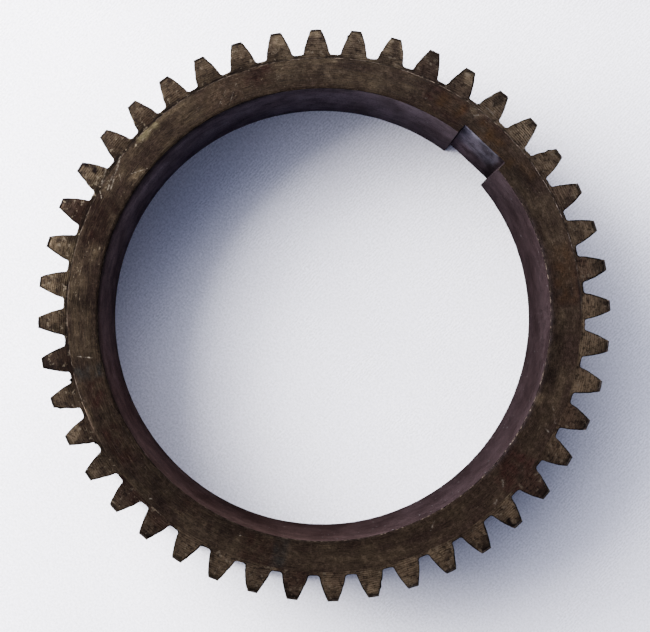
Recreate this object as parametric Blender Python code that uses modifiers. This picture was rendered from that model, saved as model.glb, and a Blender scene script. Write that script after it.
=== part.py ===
"""A spur ring gear with a plain bore, one shallow keyway and raised thrust faces, in metres, +Z up.

The gear lies on its lower thrust face, its axis is Z, and the keyway is on the +Y side.
It is made as the real one is: a turned blank, then the tooth spaces and the keyway cut out of it.
"""

import math

import bmesh
import bpy

GEAR_COLLECTION = "ring_gear_assembly"
CUTTER_COLLECTION = "cutters"

INCH = 0.0254
MM = 0.001

# Tooth system: 44 teeth of 10 diametral pitch and 20 degrees pressure angle.
TEETH = 44
MODULE = INCH / 10
PRESSURE_ANGLE = math.radians(20)
PITCH_RADIUS = MODULE * TEETH / 2
BASE_RADIUS = PITCH_RADIUS * math.cos(PRESSURE_ANGLE)
TIP_RADIUS = PITCH_RADIUS + MODULE
FULL_DEPTH = 2.157 * MODULE
# The hob stopped this far short of full depth, which leaves the teeth a little thick.
CUT_SHORT = 0.2 * MM
ROOT_RADIUS = TIP_RADIUS - FULL_DEPTH + CUT_SHORT
ROOT_FILLET = 0.55 * MM
PITCH_ANGLE = 2 * math.pi / TEETH

# Blank, turned.
FACE_WIDTH = 0.75 * INCH
BORE_RADIUS = 3.625 * INCH / 2
BORE_CHAMFER = 0.15 * MM
THRUST_RADIUS = 52.3 * MM
THRUST_HEIGHT = 0.2 * MM
THRUST_SLOPE = 0.12 * MM
TIP_CHAMFER = 0.4 * MM

# Keyway, cut through the bore wall from end to end.
KEYWAY_WIDTH = 7 / 16 * INCH
KEYWAY_DEPTH = 1.7 * MM

# Fineness. The blank has a vertex at every tooth's middle and at every space's middle.
STEPS_PER_TOOTH = 4
FLANK_STEPS = 6
FILLET_STEPS = 3
ROOT_STEPS = 2

# Cutters run past the faces that they cut, and a flank runs on a little past the tip.
CUTTER_MARGIN = 2 * MM
TIP_OVERRUN = 0.5 * MM

WELD_DISTANCE = 0.001 * MM
SHARP_ANGLE = math.radians(30)


def involute(angle):
    """The involute function of a pressure angle."""
    return math.tan(angle) - angle


def half_tooth_angle(radius):
    """Half the angle that a tooth takes up at this radius, on its involute flanks."""
    local = math.acos(BASE_RADIUS / radius)
    thickening = CUT_SHORT * math.tan(PRESSURE_ANGLE) / PITCH_RADIUS
    return PITCH_ANGLE / 4 + thickening + involute(PRESSURE_ANGLE) - involute(local)


def half_space_angle(radius):
    """Half the angle between two teeth at this radius."""
    return PITCH_ANGLE / 2 - half_tooth_angle(radius)


def polar(radius, angle):
    """The point at this radius, with the angle counted from +Y."""
    return (-radius * math.sin(angle), radius * math.cos(angle))


def fillet_arc():
    """The root fillet on the space's positive side, root first, and the radius where it meets the flank.

    A curve parallel to an involute is the same involute turned about the axis, so the fillet's centre
    lies where the turned flank crosses the circle that is one fillet radius outside the root circle.
    """
    centre_radius = ROOT_RADIUS + ROOT_FILLET
    centre_angle = half_space_angle(centre_radius) - ROOT_FILLET / BASE_RADIUS
    flank_start = math.hypot(BASE_RADIUS, math.sqrt(centre_radius**2 - BASE_RADIUS**2) - ROOT_FILLET)
    centre = polar(centre_radius, centre_angle)
    start = polar(ROOT_RADIUS, centre_angle)
    end = polar(flank_start, half_space_angle(flank_start))
    first = math.atan2(start[1] - centre[1], start[0] - centre[0])
    last = math.atan2(end[1] - centre[1], end[0] - centre[0])
    sweep = math.remainder(last - first, 2 * math.pi)
    points = []
    for step in range(FILLET_STEPS + 1):
        turn = first + sweep * step / FILLET_STEPS
        x = centre[0] + ROOT_FILLET * math.cos(turn)
        y = centre[1] + ROOT_FILLET * math.sin(turn)
        points.append((math.hypot(x, y), math.atan2(-x, y)))
    return points, flank_start


def half_space_outline():
    """From the space's middle to just past the tip, as (radius, angle), on its positive side."""
    fillet, flank_start = fillet_arc()
    root_end = fillet[0][1]
    points = [(ROOT_RADIUS, root_end * step / ROOT_STEPS) for step in range(ROOT_STEPS)]
    points.extend(fillet)
    for step in range(1, FLANK_STEPS + 1):
        radius = flank_start + (TIP_RADIUS + TIP_OVERRUN - flank_start) * step / FLANK_STEPS
        points.append((radius, half_space_angle(radius)))
    return points


def space_cutter_outline():
    """One loop round the gear, along every root and flank, bridged just outside each tooth's tip."""
    half = half_space_outline()
    whole = [(radius, -angle) for radius, angle in reversed(half[1:])] + half
    points = []
    for tooth in range(TEETH):
        middle = tooth * PITCH_ANGLE
        points.extend(polar(radius, middle + angle) for radius, angle in whole)
    return points


def circle_outline(radius, steps):
    """Evenly spaced points round a circle."""
    return [polar(radius, 2 * math.pi * step / steps) for step in range(steps)]


def new_collection(name):
    """A collection of this name, linked to the scene."""
    collection = bpy.data.collections.new(name)
    bpy.context.scene.collection.children.link(collection)
    return collection


def clear_scene():
    """Removes every object that the scene starts with."""
    for obj in list(bpy.data.objects):
        bpy.data.objects.remove(obj, do_unlink=True)


def prism_from_outlines(name, outlines, depth, collection):
    """A flat shape with the given loops as its edges, given this depth along Z about the middle plane."""
    curve = bpy.data.curves.new(name, "CURVE")
    curve.dimensions = "2D"
    curve.fill_mode = "BOTH"
    curve.extrude = depth / 2
    for outline in outlines:
        spline = curve.splines.new("POLY")
        spline.points.add(len(outline) - 1)
        for point, (x, y) in zip(spline.points, outline):
            point.co = (x, y, 0, 1)
        spline.use_cyclic_u = True
    source = bpy.data.objects.new(name + "_outline", curve)
    collection.objects.link(source)
    source.location.z = FACE_WIDTH / 2
    bpy.context.view_layer.update()
    graph = bpy.context.evaluated_depsgraph_get()
    mesh = bpy.data.meshes.new_from_object(source.evaluated_get(graph))
    obj = bpy.data.objects.new(name, mesh)
    obj.matrix_world = source.matrix_world
    collection.objects.link(obj)
    bpy.data.objects.remove(source, do_unlink=True)
    bpy.data.curves.remove(curve)
    work = bmesh.new()
    work.from_mesh(mesh)
    bmesh.ops.remove_doubles(work, verts=work.verts, dist=WELD_DISTANCE)
    bmesh.ops.recalc_face_normals(work, faces=work.faces)
    work.to_mesh(mesh)
    work.free()
    return obj


def blank_section():
    """The blank's cross-section as (radius, height), down the outside and back up the bore."""
    tooth_top = FACE_WIDTH - THRUST_HEIGHT
    tooth_bottom = THRUST_HEIGHT
    return [
        (THRUST_RADIUS - THRUST_SLOPE, FACE_WIDTH),
        (THRUST_RADIUS, tooth_top),
        (TIP_RADIUS - TIP_CHAMFER, tooth_top),
        (TIP_RADIUS, tooth_top - TIP_CHAMFER),
        (TIP_RADIUS, tooth_bottom + TIP_CHAMFER),
        (TIP_RADIUS - TIP_CHAMFER, tooth_bottom),
        (THRUST_RADIUS, tooth_bottom),
        (THRUST_RADIUS - THRUST_SLOPE, 0),
        (BORE_RADIUS + BORE_CHAMFER, 0),
        (BORE_RADIUS, BORE_CHAMFER),
        (BORE_RADIUS, FACE_WIDTH - BORE_CHAMFER),
        (BORE_RADIUS + BORE_CHAMFER, FACE_WIDTH),
    ]


def turn_blank(collection):
    """The ring as it leaves the lathe, turned from its cross-section."""
    section = blank_section()
    points = [(radius, 0, height) for radius, height in section]
    edges = [(i, (i + 1) % len(points)) for i in range(len(points))]
    mesh = bpy.data.meshes.new("ring_gear")
    mesh.from_pydata(points, edges, [])
    blank = bpy.data.objects.new("ring_gear", mesh)
    collection.objects.link(blank)
    screw = blank.modifiers.new("turn", "SCREW")
    screw.angle = 2 * math.pi
    screw.steps = TEETH * STEPS_PER_TOOTH
    screw.render_steps = screw.steps
    screw.use_merge_vertices = True
    screw.merge_threshold = WELD_DISTANCE
    return blank


def cut(target, cutter, name):
    """Takes the cutter's volume out of the target."""
    boolean = target.modifiers.new(name, "BOOLEAN")
    boolean.operation = "DIFFERENCE"
    boolean.solver = "EXACT"
    boolean.object = cutter


def keyway_cutter(collection):
    """A block as wide as the keyway, from inside the bore out to the keyway's floor."""
    inner = BORE_RADIUS - 2 * KEYWAY_DEPTH
    outer = BORE_RADIUS + KEYWAY_DEPTH
    outline = [
        (-KEYWAY_WIDTH / 2, inner),
        (KEYWAY_WIDTH / 2, inner),
        (KEYWAY_WIDTH / 2, outer),
        (-KEYWAY_WIDTH / 2, outer),
    ]
    return prism_from_outlines("keyway_cutter", [outline], FACE_WIDTH + 2 * CUTTER_MARGIN, collection)


def space_cutter(collection):
    """A ring round the gear whose inside has the shape of all the tooth spaces."""
    steps = TEETH * STEPS_PER_TOOTH
    outlines = [circle_outline(TIP_RADIUS + CUTTER_MARGIN, steps), space_cutter_outline()]
    return prism_from_outlines("space_cutter", outlines, FACE_WIDTH + 2 * CUTTER_MARGIN, collection)


def settle(target):
    """Makes the cut shape the object's own mesh, smooth on its curved faces and sharp at its edges."""
    bpy.context.view_layer.update()
    graph = bpy.context.evaluated_depsgraph_get()
    mesh = bpy.data.meshes.new_from_object(target.evaluated_get(graph))
    target.modifiers.clear()
    target.data = mesh
    mesh.shade_smooth()
    mesh.set_sharp_from_angle(angle=SHARP_ANGLE)


def oiled_steel():
    """Dark machined steel under a film of old oil."""
    material = bpy.data.materials.new("oiled_steel")
    material.use_nodes = True
    shader = material.node_tree.nodes["Principled BSDF"]
    shader.inputs["Base Color"].default_value = (0.14, 0.115, 0.085, 1)
    shader.inputs["Metallic"].default_value = 0.85
    shader.inputs["Roughness"].default_value = 0.5
    return material


def build():
    """The whole gear in its own collection, with its cutters in another."""
    clear_scene()
    parts = new_collection(GEAR_COLLECTION)
    cutters = new_collection(CUTTER_COLLECTION)
    gear = turn_blank(parts)
    gear.data.materials.append(oiled_steel())
    cut(gear, keyway_cutter(cutters), "keyway")
    cut(gear, space_cutter(cutters), "tooth_spaces")
    settle(gear)
    for cutter in cutters.objects:
        cutter.hide_render = True
        cutter.display_type = "WIRE"


build()
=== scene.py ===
import math

import bpy
import numpy as np
from mathutils import Matrix, Vector


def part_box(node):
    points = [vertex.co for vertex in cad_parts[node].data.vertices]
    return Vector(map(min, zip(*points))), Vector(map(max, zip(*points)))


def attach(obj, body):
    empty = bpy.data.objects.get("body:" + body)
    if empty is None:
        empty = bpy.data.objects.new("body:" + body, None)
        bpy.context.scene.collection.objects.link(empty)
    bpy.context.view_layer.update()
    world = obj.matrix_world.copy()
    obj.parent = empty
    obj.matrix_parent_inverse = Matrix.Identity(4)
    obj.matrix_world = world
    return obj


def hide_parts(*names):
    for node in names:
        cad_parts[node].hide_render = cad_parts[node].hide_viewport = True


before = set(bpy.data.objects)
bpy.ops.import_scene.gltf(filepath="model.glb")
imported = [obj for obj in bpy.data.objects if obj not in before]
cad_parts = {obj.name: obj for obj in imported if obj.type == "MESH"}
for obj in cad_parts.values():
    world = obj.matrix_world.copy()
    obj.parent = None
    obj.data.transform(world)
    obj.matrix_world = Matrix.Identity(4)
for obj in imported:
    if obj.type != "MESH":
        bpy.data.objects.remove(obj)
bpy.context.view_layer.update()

# A worn, oily spur ring gear lying on pale cloth, seen from almost straight above by window light.
# All sizes are in metres. Angles round the gear count anticlockwise from the keyway, which is at +Y.

GEAR_LOW, GEAR_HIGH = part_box("ring_gear")

INCH = 0.0254
MM = 0.001

# Tooth system, as in the CAD model: 44 teeth of 10 diametral pitch and 20 degrees pressure angle.
TEETH = 44
MODULE = INCH / 10
PRESSURE_ANGLE = math.radians(20)
PITCH_RADIUS = MODULE * TEETH / 2
BASE_RADIUS = PITCH_RADIUS * math.cos(PRESSURE_ANGLE)
TIP_RADIUS = PITCH_RADIUS + MODULE
CUT_SHORT = 0.2 * MM
ROOT_RADIUS = TIP_RADIUS - 2.157 * MODULE + CUT_SHORT
ROOT_FILLET = 0.55 * MM
PITCH_ANGLE = 2 * math.pi / TEETH

# The turned blank and its keyway, as in the CAD model.
FACE_WIDTH = float(GEAR_HIGH[2] - GEAR_LOW[2])
BORE_RADIUS = 3.625 * INCH / 2
THRUST_RADIUS = 52.3 * MM
THRUST_HEIGHT = 0.2 * MM
THRUST_SLOPE = 0.12 * MM
# The photograph shows no step on the side at this angle, so it runs out there to a tenth of its height.
STEP_RUNS_OUT = math.radians(238)
STEP_LOSS = 0.9
TIP_CHAMFER = 0.4 * MM
KEYWAY_WIDTH = 7 / 16 * INCH
KEYWAY_FLOOR = BORE_RADIUS + 1.7 * MM

# Fineness of the mesh, in columns round one tooth pitch and in rows across each surface.
ROOT_COLUMNS = 3
FILLET_COLUMNS = 3
FLANK_COLUMNS = 10
TIP_COLUMNS = 8
PITCH_COLUMNS = 2 * (ROOT_COLUMNS + FILLET_COLUMNS + FLANK_COLUMNS) + TIP_COLUMNS
KEYWAY_WALL_COLUMNS = 4
THRUST_ROWS = {1: 10, -1: 5}
TOOTH_ROWS = {1: 8, -1: 5}
WALL_ROWS = 5

# Worn edges. A ripple is given by the width of its lumps and its height.
BORE_BREAK = 0.16 * MM
TOOTH_BREAK = 0.17 * MM
BREAK_LUMPS = (9 * MM, 1.3 * MM)
BREAK_UNEVENNESS = 0.35
BREAK_LIMITS = (0.35, 2.4)
EDGE_RIPPLE = (0.6 * MM, 0.035 * MM)
STEP_RIPPLES = [(2.2 * MM, 0.035 * MM), (0.7 * MM, 0.02 * MM)]
FACE_RIPPLE = (4 * MM, 0.004 * MM)
FACE_WEAR = 0.006 * MM
STEP_WEAR = 0.01 * MM
STEP_ROUND = 0.05 * MM
FLANK_WEAR = 0.09 * MM
FLANK_WEAR_START = 54.9 * MM
FLANK_WEAR_RUN = 0.6 * MM
MARK_SPREAD = 0.33 * MM
SHARP_ANGLE = math.radians(28)


def involute(angle):
    """The involute function of a pressure angle."""
    return math.tan(angle) - angle


def half_tooth_angle(radius):
    """Half the angle that a tooth takes up at this radius, on its involute flanks."""
    local = math.acos(BASE_RADIUS / radius)
    thickening = CUT_SHORT * math.tan(PRESSURE_ANGLE) / PITCH_RADIUS
    return PITCH_ANGLE / 4 + thickening + involute(PRESSURE_ANGLE) - involute(local)


def half_space_angle(radius):
    """Half the angle between two teeth at this radius."""
    return PITCH_ANGLE / 2 - half_tooth_angle(radius)


def to_xy(radius, angle):
    """X and Y of points given by radius and by angle from +Y."""
    return -radius * np.sin(angle), radius * np.cos(angle)


def to_polar(x, y, near):
    """Radius and angle from +Y, with the angle kept within half a turn of the angle near."""
    angle = np.arctan2(-x, y)
    turns = np.round((near - angle) / (2 * math.pi))
    return np.hypot(x, y), angle + 2 * math.pi * turns


def smooth_step(low, high, value):
    """0 below low, 1 above high, and smooth between them."""
    t = np.clip((value - low) / (high - low), 0, 1)
    return t * t * (3 - 2 * t)


def ripple(points, scale, seed, waves=28):
    """Smooth random clouds from about -1 to 1, whose lumps are about as wide as scale."""
    draw = np.random.RandomState(seed)
    total = np.zeros(len(points))
    for _ in range(waves):
        direction = draw.normal(size=points.shape[1])
        direction *= draw.uniform(0.5, 1.0) / np.linalg.norm(direction)
        phase = draw.uniform(0, 2 * math.pi)
        total += np.cos(points @ direction * (math.pi / scale) + phase)
    return total / math.sqrt(waves)


def fillet_points():
    """The root fillet on the space's positive side, root first, and the radius where the flank starts."""
    centre_radius = ROOT_RADIUS + ROOT_FILLET
    centre_angle = half_space_angle(centre_radius) - ROOT_FILLET / BASE_RADIUS
    flank_start = math.hypot(BASE_RADIUS, math.sqrt(centre_radius**2 - BASE_RADIUS**2) - ROOT_FILLET)
    centre = to_xy(centre_radius, centre_angle)
    start = to_xy(ROOT_RADIUS, centre_angle)
    end = to_xy(flank_start, half_space_angle(flank_start))
    first = math.atan2(start[1] - centre[1], start[0] - centre[0])
    last = math.atan2(end[1] - centre[1], end[0] - centre[0])
    sweep = math.remainder(last - first, 2 * math.pi)
    points = []
    for step in range(FILLET_COLUMNS + 1):
        turn = first + sweep * step / FILLET_COLUMNS
        x = centre[0] + ROOT_FILLET * math.cos(turn)
        y = centre[1] + ROOT_FILLET * math.sin(turn)
        points.append((math.hypot(x, y), math.atan2(-x, y)))
    return points, flank_start


def half_pitch_outline():
    """From the space's middle to the tooth's middle, as (radius, angle from the space's middle)."""
    fillet, flank_start = fillet_points()
    points = [(ROOT_RADIUS, fillet[0][1] * step / ROOT_COLUMNS) for step in range(ROOT_COLUMNS)]
    points.extend(fillet)
    chamfer_start = TIP_RADIUS - TIP_CHAMFER
    for step in range(1, FLANK_COLUMNS):
        radius = flank_start + (chamfer_start - flank_start) * step / (FLANK_COLUMNS - 1)
        points.append((radius, half_space_angle(radius)))
    corner = half_space_angle(TIP_RADIUS)
    half_tip = TIP_COLUMNS // 2
    for step in range(half_tip + 1):
        points.append((TIP_RADIUS, corner + (PITCH_ANGLE / 2 - corner) * step / half_tip))
    return points


def gear_outline():
    """The tooth outline all round, as radius, angle and an evenly spread angle for each column."""
    half = half_pitch_outline()
    whole = half[:-1] + [(radius, PITCH_ANGLE - angle) for radius, angle in reversed(half[1:])]
    radius = np.tile([point[0] for point in whole], TEETH)
    local = np.tile([point[1] for point in whole], TEETH)
    tooth = np.repeat(np.arange(TEETH), PITCH_COLUMNS)
    spread = np.arange(TEETH * PITCH_COLUMNS) * PITCH_ANGLE / PITCH_COLUMNS
    return radius, local + tooth * PITCH_ANGLE, spread, tooth


# How much each tooth's loaded flank is worn, from the keyway round. 1 is usual.
FLANK_WEAR_BY_TOOTH = [
    1.0, 0.9, 1.0, 0.8, 0.9, 0.8, 1.0, 1.1, 1.2, 1.4, 1.5,
    1.5, 1.6, 1.5, 1.3, 1.2, 1.0, 1.2, 1.4, 1.5, 1.5, 1.3,
    1.5, 1.4, 1.5, 1.3, 1.2, 1.0, 1.2, 1.0, 0.9, 0.9, 0.8,
    0.8, 0.9, 1.0, 0.8, 0.8, 0.9, 0.8, 0.8, 0.9, 1.2, 1.0,
]

# Burrs and nicks on the top edge of the outline: angle in degrees, radius in mm, and how far
# it stands out in mm, where a nick is negative.
EDGE_MARKS = [
    (38.35, 56.9, 0.32), (349.45, 56.8, 0.36), (349.35, 56.0, -0.30), (153.1, 57.0, 0.34),
    (147.9, 53.3, 0.75), (162.6, 53.2, 0.45), (235.2, 56.7, 0.30), (235.6, 55.7, -0.28),
    (207.3, 58.2, -0.40), (22.4, 57.9, -0.25), (96.2, 57.2, -0.25), (282.9, 58.0, -0.25),
    (308.5, 56.1, 0.18), (68.2, 57.0, -0.20), (104.2, 56.0, -0.20), (338.2, 57.4, -0.18),
    (185.4, 57.9, -0.22), (118.0, 58.3, -0.18), (255.9, 55.4, -0.20),
]


def worn_outline(radius, angle, tooth):
    """The outline with the wear on each tooth's anticlockwise flank."""
    local = angle - (tooth + 0.5) * PITCH_ANGLE
    wear = FLANK_WEAR * np.array(FLANK_WEAR_BY_TOOTH)[tooth]
    depth = wear * smooth_step(FLANK_WEAR_START, FLANK_WEAR_START + FLANK_WEAR_RUN, radius)
    on_flank = (local > 0) & (radius < TIP_RADIUS - TIP_CHAMFER / 4)
    return angle - np.where(on_flank, depth / radius, 0)


def outward_normals(x, y):
    """Unit normals of a closed loop that runs anticlockwise, pointing away from its inside."""
    step_x = np.roll(x, -1) - np.roll(x, 1)
    step_y = np.roll(y, -1) - np.roll(y, 1)
    length = np.hypot(step_x, step_y)
    return step_y / length, -step_x / length


# The columns beside the keyway close up over about this angle, so that one lands on each of its corners.
CLOSING_UP = math.radians(3)


def bore_loop(spread):
    """The bore and keyway in plan, one point for each column."""
    half = math.asin(KEYWAY_WIDTH / 2 / BORE_RADIUS)
    column_angle = PITCH_ANGLE / PITCH_COLUMNS
    edge = round(half / column_angle)
    count = len(spread)
    reach = edge * column_angle
    signed = np.where(spread > math.pi, spread - 2 * math.pi, spread)
    outside = np.abs(signed) > reach + column_angle / 2
    shift = np.exp(-((np.abs(signed) - reach) / CLOSING_UP) ** 2) * (half - reach)
    angle = np.where(outside, spread + np.sign(signed) * shift, spread)
    x, y = to_xy(np.full(count, BORE_RADIUS), angle)
    mouth = BORE_RADIUS * math.cos(half)
    floor_edge = edge - KEYWAY_WALL_COLUMNS
    for side in (1, -1):
        for step in range(KEYWAY_WALL_COLUMNS + 1):
            column = side * (edge - step) % count
            x[column] = -side * KEYWAY_WIDTH / 2
            y[column] = mouth + (KEYWAY_FLOOR - mouth) * step / KEYWAY_WALL_COLUMNS
    for column in range(-floor_edge, floor_edge + 1):
        x[column % count] = -column / floor_edge * KEYWAY_WIDTH / 2
        y[column % count] = KEYWAY_FLOOR
    return x, y


def edge_break(x, y, size, seed):
    """The width of a worn edge at each column, never even."""
    spots = np.stack([x, y], axis=1)
    slow = ripple(spots, BREAK_LUMPS[0], seed)
    quick = ripple(spots, BREAK_LUMPS[1], seed + 1)
    return size * np.clip(1 + BREAK_UNEVENNESS * (slow + quick), *BREAK_LIMITS)


def mark_offset(x, y):
    """How far the burrs and nicks push the top edge outwards at each column."""
    offset = np.zeros(len(x))
    for degrees, radius, height in EDGE_MARKS:
        at_x, at_y = to_xy(radius * MM, math.radians(degrees))
        distance = np.hypot(x - at_x, y - at_y)
        offset += height * MM * np.exp(-((distance / MARK_SPREAD) ** 2))
    return offset


def level(side, depth):
    """The height of a point this far below the thrust face on the upper (1) or lower (-1) side."""
    middle = (GEAR_LOW[2] + GEAR_HIGH[2]) / 2
    return middle + side * (FACE_WIDTH / 2 - depth)


def blend_polar(first, last, share):
    """A row of points between two rows, each given as (radius, angle)."""
    return tuple(a + (b - a) * share for a, b in zip(first, last))


class Shell:
    """The gear's surface as rows of points, each with the zone of the faces that follow it."""

    def __init__(self):
        self.rows = []
        self.zones = []

    def add(self, x, y, z, zone):
        self.rows.append(np.stack([x, y, np.broadcast_to(z, x.shape)], axis=1))
        self.zones.append(zone)

    def add_polar(self, place, z, zone):
        x, y = to_xy(*place)
        self.add(x, y, z, zone)


def bore_edge_rows(shell, side, bore, spread):
    """The worn edge between the bore wall and a thrust face. Returns where the flat face starts."""
    x, y = bore
    out_x, out_y = outward_normals(x, y)
    size = edge_break(x, y, BORE_BREAK, 11 + side)
    shell.add(x, y, level(side, size), "bore")
    shell.add(x + 0.3 * size * out_x, y + 0.3 * size * out_y, level(side, 0.3 * size), "bore_edge")
    start_x = x + size * out_x
    start_y = y + size * out_y
    shell.add(start_x, start_y, level(side, 0), "thrust")
    return to_polar(start_x, start_y, spread)


def step_share(angle):
    """How much of the step's height is left at this angle."""
    return 1 - STEP_LOSS * smooth_step(-0.05, 0.35, np.cos(angle - STEP_RUNS_OUT))


def thrust_rows(shell, side, start, spread):
    """The raised thrust face and the small step down to the tooth face."""
    share = step_share(spread)
    spots = np.stack(to_xy(np.full(len(spread), THRUST_RADIUS), spread), axis=1)
    uneven = 0
    for (width, height), seed in zip(STEP_RIPPLES, (31 + side, 41)):
        uneven = uneven + height * ripple(spots, width, seed)
    step_top = THRUST_RADIUS - STEP_ROUND + uneven
    end = (step_top, spread)
    for row in range(1, THRUST_ROWS[side] + 1):
        place = blend_polar(start, end, row / (THRUST_ROWS[side] + 1))
        x, y = to_xy(*place)
        wave = FACE_RIPPLE[1] * ripple(np.stack([x, y], axis=1), FACE_RIPPLE[0], 51 + side)
        shell.add(x, y, level(side, FACE_WEAR + wave), "thrust")
    shell.add_polar(end, level(side, STEP_WEAR), "step")
    brow = (step_top + THRUST_SLOPE / 2, spread)
    shell.add_polar(brow, level(side, STEP_WEAR + STEP_ROUND * share), "step")
    foot = (step_top + STEP_ROUND + THRUST_SLOPE, spread)
    shell.add_polar(foot, level(side, THRUST_HEIGHT * share), "tooth_face")
    return foot


def tooth_rows(shell, side, foot, outline):
    """The tooth faces, their worn edges and the turned chamfer on the tips."""
    radius, angle = outline
    depth = THRUST_HEIGHT * step_share(foot[1])
    face_edge = np.minimum(radius, TIP_RADIUS - TIP_CHAMFER)
    edge_x, edge_y = to_xy(face_edge, angle)
    rim_x, rim_y = to_xy(radius, angle)
    out_x, out_y = outward_normals(rim_x, rim_y)
    size = edge_break(rim_x, rim_y, TOOTH_BREAK, 61 + side)
    rough = EDGE_RIPPLE[1] * ripple(np.stack([rim_x, rim_y], axis=1), EDGE_RIPPLE[0], 71 + side)
    push = rough + (mark_offset(rim_x, rim_y) if side > 0 else 0)
    nick = np.clip(-push, 0, None)
    inner_x = edge_x - (size + nick) * out_x
    inner_y = edge_y - (size + nick) * out_y
    inner = to_polar(inner_x, inner_y, foot[1])
    for row in range(1, TOOTH_ROWS[side] + 1):
        place = blend_polar(foot, inner, row / (TOOTH_ROWS[side] + 1))
        shell.add_polar(place, level(side, depth), "tooth_face")
    shell.add(inner_x, inner_y, level(side, depth), "tooth_edge")
    middle = push - 0.25 * size
    shell.add(
        edge_x + middle * out_x,
        edge_y + middle * out_y,
        level(side, depth + 0.35 * size - 0.12 * np.clip(push, 0, None)),
        "tooth_edge",
    )
    drop = depth + (radius - face_edge) + size + 0.8 * nick
    low_push = np.where(push > 0, 0.6 * push, 0.4 * push)
    shell.add(rim_x + low_push * out_x, rim_y + low_push * out_y, level(side, drop), "wall")


def side_rows(side, bore, outline, spread):
    """One side's rows, from the bore wall's end to the top of the tooth walls."""
    shell = Shell()
    start = bore_edge_rows(shell, side, bore, spread)
    foot = thrust_rows(shell, side, start, spread)
    tooth_rows(shell, side, foot, outline)
    return shell


def wall_rows(first, last, plan, zone):
    """Rows down a wall between two edges, following the plain outline in plan."""
    shell = Shell()
    for row in range(1, WALL_ROWS + 1):
        z = first[:, 2] + (last[:, 2] - first[:, 2]) * row / (WALL_ROWS + 1)
        shell.add(plan[0], plan[1], z, zone)
    return shell


def gear_shell():
    """Every row of the gear, in one closed loop round its section."""
    radius, angle, spread, tooth = gear_outline()
    angle = worn_outline(radius, angle, tooth)
    bore = bore_loop(spread)
    rim = to_xy(radius, angle)
    upper = side_rows(1, bore, (radius, angle), spread)
    lower = side_rows(-1, bore, (radius, angle), spread)
    outer = wall_rows(upper.rows[-1], lower.rows[-1], rim, "wall")
    inner = wall_rows(lower.rows[0], upper.rows[0], bore, "bore")
    rows = upper.rows + outer.rows + lower.rows[::-1] + inner.rows
    # Going back up the lower side, a row's zone is that of the faces that follow it the other way.
    lower_zones = [lower.zones[-2 - step] for step in range(len(lower.zones) - 1)] + ["bore"]
    zones = upper.zones + outer.zones + lower_zones + inner.zones
    return np.array(rows), zones


# Each zone's material, by its place in the mesh's list of materials.
ZONE_MATERIAL = {
    "bore": 3,
    "bore_edge": 4,
    "thrust": 0,
    "step": 4,
    "tooth_face": 1,
    "tooth_edge": 4,
    "wall": 2,
}


def ring_mesh():
    """The mesh with its faces, materials and sharp edges."""
    rows, zones = gear_shell()
    row_count, column_count = rows.shape[:2]
    row = np.repeat(np.arange(row_count), column_count)
    column = np.tile(np.arange(column_count), row_count)
    next_row = (row + 1) % row_count
    next_column = (column + 1) % column_count
    quads = np.stack(
        [
            row * column_count + column,
            next_row * column_count + column,
            next_row * column_count + next_column,
            row * column_count + next_column,
        ],
        axis=1,
    )
    mesh = bpy.data.meshes.new("ring_gear_detail")
    mesh.from_pydata(rows.reshape(-1, 3).tolist(), [], quads.tolist())
    material = np.array([ZONE_MATERIAL[zone] for zone in zones])[row]
    # Where the step runs out, its narrow slope looks like the thrust face beside it.
    step_row = rows[zones.index("step")]
    run_out = step_share(np.arctan2(-step_row[:, 0], step_row[:, 1])) < 0.75
    material[(np.array(zones)[row] == "step") & run_out[column]] = ZONE_MATERIAL["thrust"]
    mesh.polygons.foreach_set("material_index", material.astype(np.int32))
    mesh.update()
    mesh.shade_smooth()
    mesh.set_sharp_from_angle(angle=SHARP_ANGLE)
    return mesh, rows, zones


# ---- Paint: stains, wear and painted light and shade, kept as colours on the mesh's points ----

OLIVE = (0.088, 0.061, 0.039)
GOLD = (0.235, 0.170, 0.100)
BROWN = (0.060, 0.038, 0.028)
RED_BROWN = (0.062, 0.030, 0.023)
DARK = (0.014, 0.0095, 0.009)
GRIME = (0.0008, 0.0006, 0.0006)
YELLOW_GOLD = (0.33, 0.265, 0.135)
CHIP = (0.30, 0.235, 0.155)
GREEN_GREY = (0.058, 0.053, 0.046)
STEEL = (0.42, 0.35, 0.26)
RUST = (0.135, 0.074, 0.030)
PURPLE = (0.078, 0.055, 0.058)
BORE_BLACK = (0.0105, 0.0066, 0.0072)
KEYWAY_BLACK = (0.0126, 0.0088, 0.0108)
BORE_DRY = (0.0200, 0.0132, 0.0148)
BLUE_GREY = (0.0180, 0.0166, 0.0218)


class Paint:
    """Colours on points that are known by their place: angle in degrees, radius and height in mm."""

    def __init__(self, points):
        self.points = points
        radius, angle = to_polar(points[:, 0], points[:, 1], math.pi)
        self.radius = radius / MM
        self.angle = np.degrees(angle) % 360
        self.height = points[:, 2] / MM
        self.colour = np.zeros((len(points), 3))
        self.lines = np.zeros(len(points))

    def fill(self, colour):
        self.colour[:] = colour

    def lay(self, colour, mask):
        mask = np.clip(mask, 0, 1)[:, None]
        self.colour = self.colour * (1 - mask) + np.array(colour) * mask

    def away(self, degrees):
        """Signed angle from this one, in degrees."""
        return (self.angle - degrees + 180) % 360 - 180

    def towards(self, degrees):
        """1 at this angle, falling to -1 on the far side."""
        return np.cos(np.radians(self.away(degrees)))

    def patch(self, start, end, low, high, soft):
        """1 inside a piece of the ring between two angles and two radii, with soft ends (in mm)."""
        middle = (start + end) / 2
        around = np.abs(self.away(middle)) * math.pi / 180 * self.radius
        half = (end - start) / 2 * math.pi / 180 * self.radius
        across = np.abs(self.radius - (low + high) / 2)
        along_mask = 1 - smooth_step(half - soft, half + soft, around)
        return along_mask * (1 - smooth_step((high - low) / 2 - soft, (high - low) / 2 + soft, across))


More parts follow.
